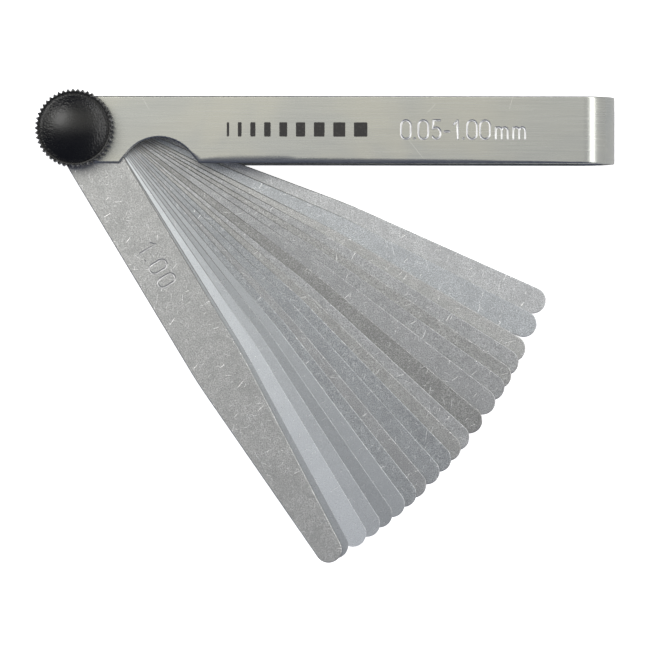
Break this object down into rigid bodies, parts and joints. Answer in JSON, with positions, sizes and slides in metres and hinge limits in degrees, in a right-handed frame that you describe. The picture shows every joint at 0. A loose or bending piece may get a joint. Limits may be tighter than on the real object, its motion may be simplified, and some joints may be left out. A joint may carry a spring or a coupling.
{
  "type": "feeler gauge",
  "caption": "Feeler gauge: steel leaves of graded thickness fanned out of a bent steel case, held by a knurled plastic locking knob.",
  "frame": {"origin": "centre of the flat underside of the pivot screw's head, on the pivot axis", "axes": "+Z along the pivot axis from the screw's head to the knob, +X along the case away from the pivot, leaves fanned out towards -Y"},
  "size_m": [0.1094, 0.0891, 0.0208],
  "materials": {
    "case": "fine lengthwise brushed stainless steel",
    "leaf": "ground and tumbled spring steel, satin",
    "screw": "turned steel, zinc plated",
    "washer": "satin steel",
    "knob": "moulded black plastic, fine texture",
    "insert": "turned brass"
  },
  "bodies": {
    "frame": {"case": "case", "pivot_screw": "screw"},
    "washer": {"washer": "washer"},
    "knob": {"knob_cap": "knob", "knob_insert": "insert"},
    "leaf_100": {"leaf_100": "leaf"},
    "leaf_005": {"leaf_005": "leaf"},
    "leaf_010": {"leaf_010": "leaf"},
    "leaf_015": {"leaf_015": "leaf"},
    "leaf_020": {"leaf_020": "leaf"},
    "leaf_025": {"leaf_025": "leaf"},
    "leaf_030": {"leaf_030": "leaf"},
    "leaf_035": {"leaf_035": "leaf"},
    "leaf_040": {"leaf_040": "leaf"},
    "leaf_045": {"leaf_045": "leaf"},
    "leaf_050": {"leaf_050": "leaf"},
    "leaf_055": {"leaf_055": "leaf"},
    "leaf_060": {"leaf_060": "leaf"},
    "leaf_065": {"leaf_065": "leaf"},
    "leaf_070": {"leaf_070": "leaf"},
    "leaf_075": {"leaf_075": "leaf"},
    "leaf_080": {"leaf_080": "leaf"},
    "leaf_085": {"leaf_085": "leaf"},
    "leaf_090": {"leaf_090": "leaf"},
    "leaf_095": {"leaf_095": "leaf"}
  },
  "joints": [
    {"name": "knob_lift", "type": "slide", "parent": "frame", "child": "washer", "axis": [0, 0, 1], "range_m": [0, 0.0016]},
    {"name": "knob_turn", "type": "hinge", "parent": "washer", "child": "knob", "pos_m": [0, 0, 0], "axis": [0, 0, 1], "range_deg": [0, 720.1]},
    {"name": "leaf_100_swing", "type": "hinge", "parent": "frame", "child": "leaf_100", "pos_m": [0, 0, 0], "axis": [0, 0, 1], "range_deg": [-121.1, 58.9]},
    {"name": "leaf_005_swing", "type": "hinge", "parent": "frame", "child": "leaf_005", "pos_m": [0, 0, 0], "axis": [0, 0, 1], "range_deg": [-122, 58]},
    {"name": "leaf_010_swing", "type": "hinge", "parent": "frame", "child": "leaf_010", "pos_m": [0, 0, 0], "axis": [0, 0, 1], "range_deg": [-124.5, 55.5]},
    {"name": "leaf_015_swing", "type": "hinge", "parent": "frame", "child": "leaf_015", "pos_m": [0, 0, 0], "axis": [0, 0, 1], "range_deg": [-126.5, 53.5]},
    {"name": "leaf_020_swing", "type": "hinge", "parent": "frame", "child": "leaf_020", "pos_m": [0, 0, 0], "axis": [0, 0, 1], "range_deg": [-128.3, 51.7]},
    {"name": "leaf_025_swing", "type": "hinge", "parent": "frame", "child": "leaf_025", "pos_m": [0, 0, 0], "axis": [0, 0, 1], "range_deg": [-130.2, 49.8]},
    {"name": "leaf_030_swing", "type": "hinge", "parent": "frame", "child": "leaf_030", "pos_m": [0, 0, 0], "axis": [0, 0, 1], "range_deg": [-132, 48]},
    {"name": "leaf_035_swing", "type": "hinge", "parent": "frame", "child": "leaf_035", "pos_m": [0, 0, 0], "axis": [0, 0, 1], "range_deg": [-133.6, 46.4]},
    {"name": "leaf_040_swing", "type": "hinge", "parent": "frame", "child": "leaf_040", "pos_m": [0, 0, 0], "axis": [0, 0, 1], "range_deg": [-135.8, 44.2]},
    {"name": "leaf_045_swing", "type": "hinge", "parent": "frame", "child": "leaf_045", "pos_m": [0, 0, 0], "axis": [0, 0, 1], "range_deg": [-137.8, 42.2]},
    {"name": "leaf_050_swing", "type": "hinge", "parent": "frame", "child": "leaf_050", "pos_m": [0, 0, 0], "axis": [0, 0, 1], "range_deg": [-139.5, 40.5]},
    {"name": "leaf_055_swing", "type": "hinge", "parent": "frame", "child": "leaf_055", "pos_m": [0, 0, 0], "axis": [0, 0, 1], "range_deg": [-141.1, 38.9]},
    {"name": "leaf_060_swing", "type": "hinge", "parent": "frame", "child": "leaf_060", "pos_m": [0, 0, 0], "axis": [0, 0, 1], "range_deg": [-143.6, 36.4]},
    {"name": "leaf_065_swing", "type": "hinge", "parent": "frame", "child": "leaf_065", "pos_m": [0, 0, 0], "axis": [0, 0, 1], "range_deg": [-146.3, 33.7]},
    {"name": "leaf_070_swing", "type": "hinge", "parent": "frame", "child": "leaf_070", "pos_m": [0, 0, 0], "axis": [0, 0, 1], "range_deg": [-148.3, 31.7]},
    {"name": "leaf_075_swing", "type": "hinge", "parent": "frame", "child": "leaf_075", "pos_m": [0, 0, 0], "axis": [0, 0, 1], "range_deg": [-149.9, 30.1]},
    {"name": "leaf_080_swing", "type": "hinge", "parent": "frame", "child": "leaf_080", "pos_m": [0, 0, 0], "axis": [0, 0, 1], "range_deg": [-151.7, 28.3]},
    {"name": "leaf_085_swing", "type": "hinge", "parent": "frame", "child": "leaf_085", "pos_m": [0, 0, 0], "axis": [0, 0, 1], "range_deg": [-153.5, 26.5]},
    {"name": "leaf_090_swing", "type": "hinge", "parent": "frame", "child": "leaf_090", "pos_m": [0, 0, 0], "axis": [0, 0, 1], "range_deg": [-156.7, 23.3]},
    {"name": "leaf_095_swing", "type": "hinge", "parent": "frame", "child": "leaf_095", "pos_m": [0, 0, 0], "axis": [0, 0, 1], "range_deg": [-159.7, 20.3]}
  ],
  "couplings": [
    {"joint": "knob_turn", "follows": "knob_lift", "rad_per_m": 7854}
  ]
}
